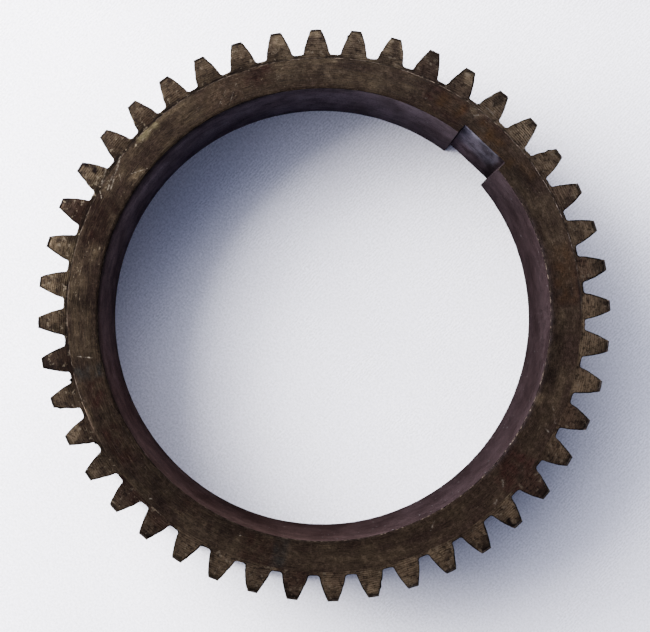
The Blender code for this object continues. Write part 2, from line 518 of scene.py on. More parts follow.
def clouds(paint, scale, seed):
    """Clouds on the paint's points."""
    return ripple(paint.points, scale * MM, seed)


def streaks(paint, length, width, seed):
    """Clouds drawn out along the ring, as turning and wear leave them. Lengths and widths are in mm."""
    x, y = paint.points[:, 0], paint.points[:, 1]
    reach = np.hypot(x, y)
    around = 50 * MM / (length / width)
    place = np.stack([x / reach * around, y / reach * around, reach + paint.points[:, 2] * 0.7], axis=1)
    return ripple(place, width * MM, seed)


# Stains on the upper thrust face: from and to in degrees, from and to in mm, colour, strength.
THRUST_STAINS = [
    (-92, -13, 45.8, 46.5, PURPLE, 0.75), (70, 236, 45.8, 46.3, DARK, 0.75),
    (30, 43.5, 46.8, 50.2, GOLD, 0.22), (40, 44, 51.2, 52.3, GOLD, 0.40),
    (22, 31, 47.0, 51.8, GOLD, 0.20), (8, 19, 47.0, 51.8, RED_BROWN, 0.60),
    (4.2, 7.6, 51.0, 52.4, GOLD, 0.65), (-4, 5, 47.8, 52.3, RED_BROWN, 0.45),
    (-3.5, 4.2, 48.6, 51.2, RUST, 0.45), (8.6, 15.5, 48.4, 51.4, RUST, 0.38),
    (-8.5, -2.5, 47.2, 50.2, RUST, 0.30), (-14, -9, 49.5, 51.8, RUST, 0.22),
    (-6.5, -3.6, 48.2, 50.4, BROWN, 0.70), (-17, -5.5, 46.3, 50.0, DARK, 0.18),
    (-29, -18, 48.0, 52.0, GOLD, 0.14), (-34, -28, 47.0, 51.8, GOLD, 0.26),
    (-45, -31, 47.2, 52.3, RED_BROWN, 0.40), (-44, -30, 47.6, 51.6, RUST, 0.26),
    (45, 55, 49.5, 52.2, GOLD, 0.20), (55, 63, 48.5, 52.3, RED_BROWN, 0.60),
    (58, 61, 50.0, 52.0, DARK, 0.45), (63, 74, 46.6, 51.8, RED_BROWN, 0.40),
    (62, 74, 46.4, 51.5, GOLD, 0.18), (74, 85, 51.0, 52.3, GOLD, 0.25),
    (84.6, 90.2, 51.3, 52.3, YELLOW_GOLD, 1.00), (94.8, 98.0, 46.8, 48.0, GOLD, 0.95),
    (96.5, 105.5, 49.6, 52.4, GOLD, 0.14), (105, 117, 46.2, 52.4, DARK, 0.72),
    (105, 117, 47.0, 52.0, RED_BROWN, 0.35), (116, 121, 47.2, 49.8, GOLD, 0.26),
    (121.5, 129, 49.4, 52.2, GOLD, 0.26), (129, 133, 46.6, 52.0, DARK, 0.30),
    (133, 143, 47.6, 52.3, GOLD, 0.16), (145.6, 148.8, 46.4, 52.4, GREEN_GREY, 0.65),
    (149, 156, 47.0, 51.6, RED_BROWN, 0.70), (148.5, 157, 50.9, 52.2, GOLD, 0.28),
    (157, 172, 46.8, 52.3, DARK, 0.35), (160, 171, 47.4, 51.6, RED_BROWN, 0.55),
    (172, 184, 47.0, 52.2, DARK, 0.22), (186, 191, 46.6, 49.6, RED_BROWN, 0.45),
    (188, 204, 48.0, 52.2, GOLD, 0.16), (203, 211, 46.8, 52.3, RED_BROWN, 0.45),
    (211, 214.4, 46.4, 52.4, GREEN_GREY, 0.50), (214, 224, 47.0, 51.4, GOLD, 0.12),
    (224, 242, 49.4, 52.2, GOLD, 0.12), (240, 268, 46.6, 52.3, DARK, 0.04),
    (269, 278.5, 47.0, 52.4, RED_BROWN, 0.75), (280, 290, 46.6, 52.3, DARK, 0.20),
    (290.2, 292.6, 46.4, 47.6, GOLD, 0.90), (292, 293.4, 49.1, 49.9, GOLD, 0.80),
    (294, 312, 46.4, 49.0, DARK, 0.40), (300, 318, 49.6, 52.2, BROWN, 0.20),
]


# Where the upper thrust face is scuffed: from and to in degrees, from and to in mm, how much.
SCUFFS = [
    (96.0, 105.5, 50.6, 52.4, 0.55), (85.0, 92.0, 50.4, 52.3, 0.8), (115.5, 121.5, 47.0, 51.0, 0.5),
    (122.0, 130.0, 49.6, 52.2, 0.6), (130.0, 143.0, 48.0, 52.3, 0.2), (95.0, 99.0, 46.3, 47.6, 0.6),
    (44.0, 72.0, 46.8, 52.2, 0.3), (1.0, 8.0, 50.8, 52.4, 0.6), (284.8, 287.2, 48.2, 52.0, 0.6),
    (262.0, 266.0, 50.0, 52.0, 0.3), (300.0, 345.0, 48.4, 51.6, 0.2),
]

# The camera's left, this many degrees from the keyway, is the side painted darker as painted shade; the far
# side is painted lighter.
PAINTED_SHADE_SIDE = 125


def painted_shade_share(paint, contrast):
    """Painted shade and painted light: darkens one side of the gear and lightens the other."""
    return np.exp(-contrast * paint.towards(PAINTED_SHADE_SIDE))[:, None]


def paint_thrust(paint):
    """The upper and lower thrust faces: olive brown, streaked along the turning."""
    long_streaks = streaks(paint, 12, 0.9, 101)
    short_streaks = streaks(paint, 3, 0.6, 102)
    lumps = clouds(paint, 2.2, 103)
    paint.fill(BROWN)
    paint.lay(OLIVE, 0.5 + 0.25 * long_streaks + 0.30 * lumps)
    paint.lay(GOLD, 0.16 * smooth_step(0.5, 1.8, short_streaks + 0.6 * lumps))
    paint.lay(DARK, 0.35 * smooth_step(0.4, 1.7, clouds(paint, 3.0, 104) - 0.3 * short_streaks))
    ragged = 0.8 + 0.45 * clouds(paint, 0.9, 105) + 0.25 * short_streaks
    upper = (paint.height > FACE_WIDTH / MM / 2).astype(float)
    for start, end, low, high, colour, strength in THRUST_STAINS:
        paint.lay(colour, upper * strength * ragged * paint.patch(start, end, low, high, 0.8))
    for start, end, low, high, strength in SCUFFS:
        mask = strength * paint.patch(start, end, low, high, 0.9) * upper
        paint.lines = np.maximum(paint.lines, mask)
    # Painted light: lighter towards the outer edge, the more so on the side away from the painted shade.
    outward = (paint.radius - 49.3) / 3
    lit_side = 0.5 - 0.5 * paint.towards(PAINTED_SHADE_SIDE)
    paint.colour *= (1 + 0.16 * outward * (0.4 + 0.6 * lit_side))[:, None]
    # Painted shade on the camera's left side and painted light on the far side.
    paint.colour *= 0.83 * painted_shade_share(paint, 0.40)


# Each tooth's upper face from the keyway round: how gold, how dark at the tip (golden if negative),
# how red at the foot, and which side is darker (1 is the anticlockwise side).
TOOTH_LOOKS = [
    (0.60, 0.60, 0.10, 0.0), (0.30, -0.85, 0.20, 0.4), (0.25, 0.30, 0.28, -0.3), (0.65, -0.85, 0.00, 0.1),
    (0.68, -1.00, 0.00, 0.0), (0.68, -1.05, 0.15, 0.1), (0.48, -0.65, 0.00, 0.0), (0.58, 0.28, 0.18, 0.0),
    (0.55, 0.30, 0.18, 0.2), (0.50, 0.32, 0.25, 0.0), (0.38, 0.38, 0.35, 0.2), (0.35, 0.42, 0.16, 0.3),
    (0.70, 0.80, 0.00, 0.0), (0.00, 0.90, 0.60, 0.0), (1.00, 0.10, 0.00, 0.2), (0.90, 0.15, 0.05, 0.0),
    (0.65, 0.45, 0.15, 0.4), (0.00, 0.50, 0.30, 0.5), (0.28, 0.12, 0.14, 0.0), (0.20, -0.40, 0.25, 0.2),
    (0.60, -0.10, 0.15, -0.6), (0.05, -0.10, 0.50, 0.0), (0.10, 0.70, 0.40, 0.0), (0.65, -0.40, 0.20, 0.0),
    (0.50, 0.00, 0.10, -0.4), (0.60, 0.30, 0.10, -0.2), (0.20, 0.50, 0.50, 0.3), (0.70, 0.35, 0.20, 0.0),
    (0.80, 0.10, 0.00, 0.3), (0.70, 0.10, 0.10, 0.0), (0.80, 0.30, 0.00, 0.0), (0.40, 0.60, 0.20, 0.0),
    (0.66, 0.80, 0.05, 0.0), (0.00, 0.42, 0.66, 0.0), (0.50, 0.30, 0.20, -0.6), (0.20, 0.55, 0.30, 0.0),
    (0.65, 0.10, 0.10, 0.0), (0.80, 0.40, 0.10, -0.3), (0.90, 0.50, 0.20, 0.0), (0.60, 0.58, 0.40, 0.0),
    (0.55, 0.00, 0.05, 0.2), (0.60, -0.10, 0.20, -0.5), (0.80, -0.20, 0.15, 0.3), (0.80, 0.15, 0.00, 0.0),
]


# How plainly the turning lines show on each tooth's face.
TOOTH_LINES = [
    0.9, 0.3, 0.2, 0.3, 0.5, 0.3, 0.2, 0.4, 0.4, 0.6, 0.4,
    0.5, 0.9, 0.3, 0.6, 0.7, 0.4, 0.1, 0.3, 0.3, 0.4, 0.3,
    0.3, 0.5, 0.3, 0.3, 0.2, 0.4, 0.8, 0.6, 0.4, 0.4, 0.5,
    0.1, 0.3, 0.2, 0.3, 0.5, 0.4, 0.3, 0.3, 0.3, 0.3, 1.0,
]


def paint_tooth_faces(paint):
    """The tooth faces: golden olive, with dark tips, stains and grime in the corner of the step."""
    tooth = np.floor(paint.angle / math.degrees(PITCH_ANGLE)).astype(int) % TEETH
    middle = (tooth + 0.5) * math.degrees(PITCH_ANGLE)
    sideways = np.radians(paint.angle - middle) * paint.radius
    up = (paint.radius - ROOT_RADIUS / MM) / ((TIP_RADIUS - ROOT_RADIUS) / MM)
    looks = np.array(TOOTH_LOOKS)
    lower = paint.height < FACE_WIDTH / MM / 2
    looks_here = looks[np.where(lower, (tooth * 7 + 3) % TEETH, tooth)]
    gold, tip_dark, red, dark_side = looks_here.T
    lumps = clouds(paint, 1.5, 111)
    fine = clouds(paint, 0.7, 112)
    slow = clouds(paint, 4.0, 113)
    paint.fill(OLIVE)
    paint.lay(BROWN, 0.5 + 0.3 * slow - gold * 0.6)
    paint.lay(GOLD, gold * (0.50 + 0.35 * lumps + 0.25 * fine))
    paint.lay(RED_BROWN, red * (0.8 + 0.5 * lumps) * (1 - smooth_step(0.2, 0.75, up)))
    on_dark_side = smooth_step(-0.3, 1.3, sideways * np.sign(dark_side) + 0.4 * fine)
    paint.lay(DARK, np.abs(dark_side) * 0.8 * on_dark_side)
    tip = smooth_step(0.52, 0.74, up + 0.20 * lumps + 0.12 * fine)
    paint.lay(DARK, 1.25 * tip_dark * tip)
    paint.lay(GOLD, -1.1 * tip_dark * tip * (0.9 + 0.3 * fine))
    # A dark strip along the tips, partly painted shade: darkest on the side away from the light.
    far = 0.5 - 0.5 * paint.towards(PAINTED_SHADE_SIDE)
    paint.lay(DARK, (0.25 + 0.55 * far) * smooth_step(0.84, 0.93, up + 0.05 * fine))
    paint.lay(DARK, 0.35 * smooth_step(0.7, 1.6, clouds(paint, 1.1, 114)))
    corner = THRUST_RADIUS / MM
    band = 1 - smooth_step(corner + 0.30, corner + 0.80, paint.radius + 0.20 * lumps + 0.1 * fine)
    grime = 0.12 + 0.62 * np.clip(paint.towards(88), 0, 1)
    paint.lay(DARK, band * grime * (1.0 + 0.25 * slow))
    # Painted shade: the teeth's feet darker, the most towards 105 degrees.
    painted_foot_shade = 0.10 + 0.42 * np.clip(paint.towards(105), 0, 1)
    paint.colour *= 1 - (painted_foot_shade * (1 - smooth_step(0.15, 0.6, up)))[:, None]
    # Painted shade on the camera's left side and painted light on the far side.
    paint.colour *= 1.12 * painted_shade_share(paint, 0.28)
    paint.lines = np.array(TOOTH_LINES)[tooth] * (1 - 0.6 * smooth_step(0.45, 0.8, up)) * (0.9 + 0.3 * slow)


WALL_GREY = (0.058, 0.051, 0.045)
WALL_BLACK = (0.016, 0.014, 0.013)


def paint_walls(paint):
    """Tooth walls and tips: grey steel under black oil, brighter where the teeth rub."""
    lumps = clouds(paint, 1.6, 121)
    slow = clouds(paint, 5.0, 122)
    paint.fill(WALL_BLACK)
    deep = smooth_step(0.25, 0.9, FACE_WIDTH / MM - paint.height) * smooth_step(0.25, 0.9, paint.height)
    paint.lay(WALL_GREY, deep * (0.45 + 0.2 * slow + 0.10 * lumps))
    rubbed = smooth_step(54.6, 55.6, paint.radius) * (1 - smooth_step(57.6, 58.2, paint.radius))
    inside = smooth_step(0.6, 2.4, paint.height) * (1 - smooth_step(16.6, 18.4, paint.height))
    paint.lay(STEEL, rubbed * inside * (0.16 + 0.06 * lumps))
    paint.lay(BROWN, 0.35 * smooth_step(0.5, 1.6, clouds(paint, 3.0, 123)))


# Painted light and shade on the bore wall, every 30 degrees from the keyway: it is painted blackest where
# the light falls and lightest where the wall is in shade.
BORE_TONES = [1.20, 3.20, 3.80, 4.60, 3.40, 2.35, 0.74, 0.46, 0.35, 0.305, 0.30, 0.44]


def paint_bore(paint):
    """The bore wall: blackened, cloudy where it is dry, with a blue-grey patch on the keyway's floor."""
    lumps = clouds(paint, 3.5, 131)
    rubs = streaks(paint, 9, 0.8, 132)
    paint.fill(BORE_BLACK)
    paint.lay(BORE_DRY, 0.5 + 0.25 * lumps + 0.18 * rubs)
    # Painted light on the wall's shaded side and painted shade on its lit side.
    steps = np.arange(len(BORE_TONES) + 1) * 360 / len(BORE_TONES) + 15
    tone = np.interp((paint.angle - 15) % 360 + 15, steps, BORE_TONES + BORE_TONES[:1])
    paint.colour *= tone[:, None]
    # Painted shade colour: bluer on the wall's shaded side, towards 65 degrees.
    painted_shade_blue = smooth_step(-0.1, 0.8, paint.towards(65))
    paint.colour *= 1 + painted_shade_blue[:, None] * np.array([-0.06, 0.10, 0.22])
    warm = smooth_step(-0.1, 0.9, paint.towards(165))
    paint.colour *= 1 + warm[:, None] * np.array([0.08, -0.02, -0.20])
    # Painted shade: the top of the wall darker under the rim, on the side towards 105 degrees.
    painted_rim_shade = smooth_step(17.4, 18.6, paint.height)
    paint.colour *= 1 - (0.75 * painted_rim_shade * np.clip(paint.towards(105), 0, 1))[:, None]
    in_keyway = (np.abs(paint.points[:, 0]) < KEYWAY_WIDTH / 2 - 0.15 * MM) & (paint.radius > 46.6)
    in_keyway &= paint.points[:, 1] > 0
    worn = smooth_step(7.0, 9.5, paint.height + 1.2 * lumps) * (0.75 + 0.25 * rubs)
    sideways = paint.points[:, 0] / MM
    worn *= 1 - smooth_step(3.4, 4.4, sideways + 0.5 * lumps)
    paint.lay(KEYWAY_BLACK, in_keyway * 0.9)
    paint.lay(GRIME, in_keyway * 0.6 * smooth_step(3.0, 4.6, sideways + 0.5 * lumps))
    paint.lay(BLUE_GREY, in_keyway * worn)
    brightest = np.exp(-((sideways - 1.2) / 2.0) ** 2 - ((paint.height - 13.5) / 4.0) ** 2)
    paint.colour *= 1 + (in_keyway * brightest * (0.10 + 0.3 * lumps))[:, None]
    # Painted light: the keyway floor's shaded side is lightened, and the rest darkened towards its other
    # side.
    shaded = 1 - smooth_step(-4.6, -0.5, sideways)
    paint.colour *= 1 + (in_keyway * (1.5 * shaded - 0.28 * smooth_step(-1, 1, sideways)))[:, None]


ZONE_PAINT = {
    ("thrust", "step"): paint_thrust,
    ("tooth_face", "tooth_edge"): paint_tooth_faces,
    ("wall",): paint_walls,
    ("bore", "bore_edge"): paint_bore,
}
# How much of its light the paint keeps where a tooth's face ends.
OUTLINE_SHADE = 0.22


def paint_mesh(mesh, rows, zones):
    """Writes the paint on the mesh's points."""
    zone = np.repeat(zones, rows.shape[1])
    points = rows.reshape(-1, 3)
    colour = np.zeros((len(points), 4))
    for names, painter in ZONE_PAINT.items():
        chosen = np.isin(zone, names)
        paint = Paint(points[chosen])
        painter(paint)
        colour[chosen, :3] = paint.colour
        colour[chosen, 3] = paint.lines
    colour[zone == "tooth_edge", :3] *= OUTLINE_SHADE
    layer = mesh.color_attributes.new("paint", "FLOAT_COLOR", "POINT")
    layer.data.foreach_set("color", np.clip(colour, 0, 1).ravel().astype(np.float32))


# ---- Materials ----

# Nearly all of a noise texture's values lie between these two.
NOISE_SPAN = (0.3, 0.7)
NUMBER_RESULTS = ("LENGTH", "DISTANCE", "DOT_PRODUCT")


class Nodes:
    """Short ways to build the nodes of one material, or of the world."""

    def __init__(self, name, library):
        self.holder = library.new(name)
        self.holder.use_nodes = True
        self.tree = self.holder.node_tree
        self.tree.nodes.clear()

    def add(self, kind, inputs=None, **settings):
        made = self.tree.nodes.new(kind)
        for name, value in settings.items():
            setattr(made, name, value)
        for key, value in (inputs or {}).items():
            self.put(made.inputs[key], value)
        return made

    def put(self, socket, value):
        if isinstance(value, bpy.types.NodeSocket):
            self.tree.links.new(value, socket)
        else:
            socket.default_value = value

    def maths(self, operation, first, second=0.0, third=0.0):
        made = self.add("ShaderNodeMath", operation=operation)
        for socket, value in zip(made.inputs, (first, second, third)):
            self.put(socket, value)
        return made.outputs[0]

    def times(self, first, second):
        return self.maths("MULTIPLY", first, second)

    def total(self, first, *others):
        for other in others:
            first = self.maths("ADD", first, other)
        return first

    def vectors(self, operation, first, second=(0, 0, 0)):
        """A vector operation. A length, a distance and a dot product are numbers."""
        made = self.add("ShaderNodeVectorMath", {0: first, 1: second}, operation=operation)
        return made.outputs["Value" if operation in NUMBER_RESULTS else "Vector"]

    def dot(self, first, second):
        return self.vectors("DOT_PRODUCT", first, second)

    def scaled(self, vector, amount):
        made = self.add("ShaderNodeVectorMath", {0: vector, "Scale": amount}, operation="SCALE")
        return made.outputs["Vector"]

    def ranged(self, value, low, high, to_low=0.0, to_high=1.0):
        """0 to 1, or another range, smoothly, as the value goes from low to high."""
        inputs = {"Value": value, "From Min": low, "From Max": high, "To Min": to_low, "To Max": to_high}
        return self.add("ShaderNodeMapRange", inputs, interpolation_type="SMOOTHSTEP").outputs["Result"]

    def spread(self, noise, to_low, to_high):
        """A noise spread over this range."""
        return self.ranged(noise, *NOISE_SPAN, to_low, to_high)

    def noise(self, vector, scale=1.0, detail=2.0, roughness=0.5):
        inputs = {"Vector": vector, "Scale": scale, "Detail": detail, "Roughness": roughness}
        return self.add("ShaderNodeTexNoise", inputs).outputs["Fac"]

    def mix(self, share, first, second):
        made = self.add("ShaderNodeMix", data_type="RGBA", clamp_factor=True)
        self.put(made.inputs[0], share)
        self.put(made.inputs[6], first)
        self.put(made.inputs[7], (*second, 1))
        return made.outputs[2]

    def place(self):
        """Object coordinates in millimetres."""
        return self.scaled(self.add("ShaderNodeTexCoord").outputs["Object"], 1000.0)

    def from_axis(self):
        """The distance from the gear's axis in millimetres, and the direction from the axis."""
        flat = self.vectors("MULTIPLY", self.place(), (1, 1, 0))
        return self.vectors("LENGTH", flat), self.vectors("NORMALIZE", flat)

    def ring_noise(self, around, across, detail, roughness=0.6):
        """Noise drawn out along the ring, with lumps 50/around mm long and 1/across mm wide."""
        radius, direction = self.from_axis()
        height = self.dot(self.place(), (0, 0, 1))
        depth = self.times(self.total(radius, height), across)
        vector = self.vectors("ADD", self.scaled(direction, around), self.scaled((0, 0, 1), depth))
        return self.noise(vector, 1.0, detail, roughness)

    def paint(self):
        """The colours painted on the mesh's points, and the marks kept in their alpha."""
        made = self.add("ShaderNodeAttribute", attribute_name="paint")
        return made.outputs["Color"], made.outputs["Alpha"]

    def finish(self, colour, roughness, height, distance, metallic, specular=0.5):
        bump = self.add("ShaderNodeBump", {"Height": height, "Distance": distance, "Strength": 1.0})
        inputs = {
            "Base Color": colour,
            "Roughness": roughness,
            "Metallic": metallic,
            "Specular IOR Level": specular,
            "Normal": bump.outputs[0],
        }
        shader = self.add("ShaderNodeBsdfPrincipled", inputs)
        self.add("ShaderNodeOutputMaterial", {"Surface": shader.outputs[0]})
        return self.holder


# Bright scratches and flecks on the upper faces, each from one point to another: degrees, mm,
# degrees, mm, then width in mm and strength.
SCRATCHES = [
    (102.9, 50.4, 95.6, 52.5, 0.34, 0.60), (93.9, 46.7, 98.2, 49.2, 0.13, 0.55),
    (64.2, 50.4, 68.0, 46.6, 0.12, 0.45), (67.0, 50.0, 70.8, 47.2, 0.10, 0.40),
    (143.0, 50.9, 143.9, 48.1, 0.22, 0.85), (285.4, 51.7, 286.6, 49.6, 0.26, 0.95),
    (249.4, 48.9, 251.2, 47.6, 0.24, 0.80), (179.8, 51.6, 180.1, 51.3, 0.28, 1.00),
    (202.3, 48.1, 202.7, 47.9, 0.22, 0.80), (265.2, 51.7, 265.9, 51.5, 0.36, 1.00),
    (269.3, 50.4, 270.1, 49.6, 0.36, 0.90), (5.6, 51.4, 6.3, 50.7, 0.35, 0.70),
    (17.9, 48.9, 18.1, 48.7, 0.20, 0.70), (308.3, 56.6, 308.5, 56.0, 0.22, 0.90),
    (349.0, 57.2, 349.4, 56.6, 0.25, 0.90), (3.0, 53.5, 5.2, 53.6, 0.30, 0.60),
    (102.9, 52.6, 99.4, 53.5, 0.28, 0.62), (99.0, 53.0, 97.2, 54.6, 0.20, 0.62),
    (104.8, 53.2, 106.4, 54.9, 0.20, 0.62), (103.5, 50.9, 100.0, 51.6, 0.26, 0.62),
    (100.0, 49.6, 98.6, 50.9, 0.16, 0.80), (105.8, 51.2, 104.6, 52.1, 0.22, 0.90),
    (88.0, 54.1, 89.5, 54.9, 0.20, 0.70), (288.0, 51.9, 289.6, 51.0, 0.24, 0.90),
    (290.5, 50.6, 291.2, 50.0, 0.20, 0.70), (152.2, 52.5, 153.6, 51.6, 0.20, 0.60),
]


def flat_point(radius, degrees):
    """The point at this radius and angle from +Y, at height 0."""
    return Vector((*to_xy(radius, math.radians(degrees)), 0))


def scratch_mask(nodes):
    """How much of a bright scratch is at this point, from 0 to 1."""
    place = nodes.place()
    wobble = nodes.noise(place, 1.7, 2.0)
    gaps = nodes.ranged(nodes.noise(place, 1.3, 3.0, 0.7), 0.38, 0.58)
    flat = nodes.vectors("MULTIPLY", place, (1, 1, 0))
    total = 0.0
    for start_angle, start_radius, end_angle, end_radius, width, strength in SCRATCHES:
        start = flat_point(start_radius, start_angle)
        run = flat_point(end_radius, end_angle) - start
        offset = nodes.vectors("SUBTRACT", flat, start)
        share = nodes.dot(offset, run / run.length_squared)
        share = nodes.maths("MINIMUM", nodes.maths("MAXIMUM", share, 0.0), 1.0)
        gap = nodes.vectors("DISTANCE", offset, nodes.scaled(run, share))
        distance = nodes.total(gap, nodes.times(wobble, 2.2 * width))
        mark = nodes.ranged(distance, width * 0.8, width * 2.0, strength, 0.0)
        total = nodes.maths("MAXIMUM", total, mark)
    return nodes.times(total, gaps)


def thrust_steel():
    """Oily brown steel with streaks along the turning, specks and a few bright scratches."""
    nodes = Nodes("oily_thrust_steel", bpy.data.materials)
    place = nodes.place()
    painted, scuffs = nodes.paint()
    long_streaks = nodes.ring_noise(14.0, 2.8, 3.0)
    fine_streaks = nodes.ring_noise(60.0, 6.0, 2.0)
    specks = nodes.noise(place, 3.2, 3.0, 0.65)
    tone = nodes.total(
        nodes.spread(long_streaks, 0.70, 1.25),
        nodes.spread(specks, -0.25, 0.35),
        nodes.spread(fine_streaks, -0.25, 0.3),
    )
    colour = nodes.scaled(painted, nodes.maths("MAXIMUM", tone, 0.15))
    flakes = nodes.ranged(nodes.noise(place, 0.9, 5.0, 0.7), 0.50, 0.58, 0.84, 1.22)
    colour = nodes.scaled(colour, flakes)
    grooves = nodes.ring_noise(16.0, 6.5, 2.0)
    colour = nodes.mix(nodes.ranged(grooves, 0.56, 0.66, 0.0, 0.17), colour, GOLD)
    chips = nodes.ring_noise(52.0, 2.3, 5.0, 0.7)
    chips = nodes.maths("MULTIPLY_ADD", scuffs, 0.14, chips)
    colour = nodes.mix(nodes.ranged(chips, 0.655, 0.73, 0.0, 0.70), colour, CHIP)
    scratch = scratch_mask(nodes)
    colour = nodes.mix(scratch, colour, STEEL)
    roughness = nodes.spread(long_streaks, 0.36, 0.27)
    height = nodes.total(nodes.times(fine_streaks, 0.6), nodes.times(specks, 0.8))
    height = nodes.maths("SUBTRACT", height, nodes.times(scratch, 0.8))
    return nodes.finish(colour, roughness, height, 0.02 * MM, 1.0)


# How far apart the turning lines on the tooth faces are, in mm.
LINE_PITCH = 0.42


def tooth_face_steel():
    """Turned steel under thin oil: fine concentric lines, golden where it is rubbed."""
    nodes = Nodes("turned_tooth_steel", bpy.data.materials)
    place = nodes.place()
    painted, line_strength = nodes.paint()
    radius = nodes.from_axis()[0]
    drift = nodes.noise(place, 0.5, 1.0)
    turns = nodes.times(radius, 2 * math.pi / LINE_PITCH)
    phase = nodes.total(turns, nodes.times(drift, 5.0))
    lines = nodes.maths("MULTIPLY_ADD", nodes.maths("SINE", phase), 0.5, 0.5)
    specks = nodes.noise(place, 3.6, 3.0, 0.65)
    arcs = nodes.ring_noise(40.0, 3.5, 2.0)
    tone = nodes.total(nodes.spread(specks, 0.55, 1.35), nodes.spread(arcs, -0.3, 0.4))
    lined = nodes.times(nodes.maths("MULTIPLY_ADD", lines, 1.2, -0.55), line_strength)
    tone = nodes.maths("MAXIMUM", nodes.total(tone, lined), 0.12)
    colour = nodes.scaled(painted, tone)
    stains = nodes.ranged(nodes.noise(place, 1.1, 4.0, 0.6), 0.54, 0.61, 0.0, 0.60)
    colour = nodes.mix(stains, colour, DARK)
    rubs = nodes.ranged(nodes.noise(place, 0.85, 4.0, 0.65), 0.57, 0.66, 0.0, 0.55)
    colour = nodes.mix(rubs, colour, CHIP)
    colour = nodes.mix(scratch_mask(nodes), colour, STEEL)
    roughness = nodes.spread(specks, 0.36, 0.27)
    height = nodes.times(nodes.times(lines, line_strength), 0.6)
    height = nodes.total(height, nodes.times(specks, 0.6))
    return nodes.finish(colour, roughness, height, 0.02 * MM, 1.0)


def wall_steel():
    """Tooth walls: cutting marks along the width, dull with old oil."""
    nodes = Nodes("grimy_tooth_wall_steel", bpy.data.materials)
    place = nodes.place()
    painted = nodes.paint()[0]
    cuts = nodes.noise(nodes.vectors("MULTIPLY", place, (1, 1, 0.08)), 5.0, 3.0, 0.6)
    grime = nodes.noise(place, 0.8, 4.0, 0.6)
    specks = nodes.noise(place, 4.5, 2.0, 0.6)
    tone = nodes.total(nodes.spread(cuts, 0.75, 1.2), nodes.ranged(grime, 0.35, 0.7, 0.25, -0.35))
    colour = nodes.scaled(painted, nodes.maths("MAXIMUM", tone, 0.2))
    roughness = nodes.ranged(grime, 0.35, 0.65, 0.34, 0.55)
    height = nodes.total(cuts, nodes.times(specks, 0.5))
    return nodes.finish(colour, roughness, height, 0.03 * MM, 1.0)


# How light the narrow edges are painted, at right angles to the light. As painted shade, those that face
# the light are the blackest, and those that face away are the lightest, so that no edge shows as a bright
# line.
EDGE_TINT = (1.0, 0.76, 0.60)
EDGE_BLACKNESS = 0.0009
TIP_LIGHTNESS = 0.009
STEP_LIGHTNESS = 0.044
EDGE_CONTRAST = 1.9
LIGHT_SIDE = 104
# The bore's rim is dark all round, with bare chips on the side away from the light, lightened there as a
# painted highlight.
RIM_LIGHTNESS = 0.0024
RIM_CHIP_GLINT = 0.034


def edge_grime_and_shade():
    """Edges and tip chamfers, black with grime and painted shade: blackest where they face the light,
    lighter where they face away, and less black on the step and on the bore's rim.
    """
    nodes = Nodes("edge_grime_and_shade", bpy.data.materials)
    place = nodes.place()
    lumps = nodes.noise(place, 1.6, 3.0, 0.6)
    chips = nodes.ranged(nodes.noise(place, 1.1, 4.0, 0.7), 0.49, 0.58)
    breaks = nodes.ranged(nodes.noise(place, 0.5, 3.0, 0.7), 0.42, 0.60, 0.12, 1.55)
    radius, direction = nodes.from_axis()
    facing = nodes.dot(direction, flat_point(1, LIGHT_SIDE))
    outward = nodes.maths("EXPONENT", nodes.times(facing, -EDGE_CONTRAST))
    chip_glint = nodes.times(chips, nodes.ranged(facing, -1.0, -0.2, RIM_CHIP_GLINT, 0.2 * RIM_CHIP_GLINT))
    on_rim = nodes.total(chip_glint, RIM_LIGHTNESS)
    on_step = nodes.times(outward, nodes.times(breaks, STEP_LIGHTNESS))
    towards_tip = nodes.ranged(radius, 57.5, 57.9, EDGE_BLACKNESS, TIP_LIGHTNESS)
    on_tip = nodes.times(outward, towards_tip)
    beyond_rim = nodes.ranged(radius, 48.6, 49.0)
    beyond_step = nodes.ranged(radius, 52.60, 52.85)
    shown = nodes.times(nodes.maths("SUBTRACT", 1.0, beyond_rim), on_rim)
    shown = nodes.maths("MULTIPLY_ADD", nodes.maths("SUBTRACT", beyond_rim, beyond_step), on_step, shown)
    shown = nodes.maths("MULTIPLY_ADD", beyond_step, on_tip, shown)
    shown = nodes.times(shown, nodes.ranged(lumps, 0.35, 0.65, 0.4, 1.7))
    roughness = nodes.ranged(lumps, 0.35, 0.65, 0.70, 0.50)
    return nodes.finish(nodes.scaled(EDGE_TINT, shown), roughness, lumps, 0.03 * MM, 0.0, 0.0)


DUST = (0.07, 0.066, 0.068)


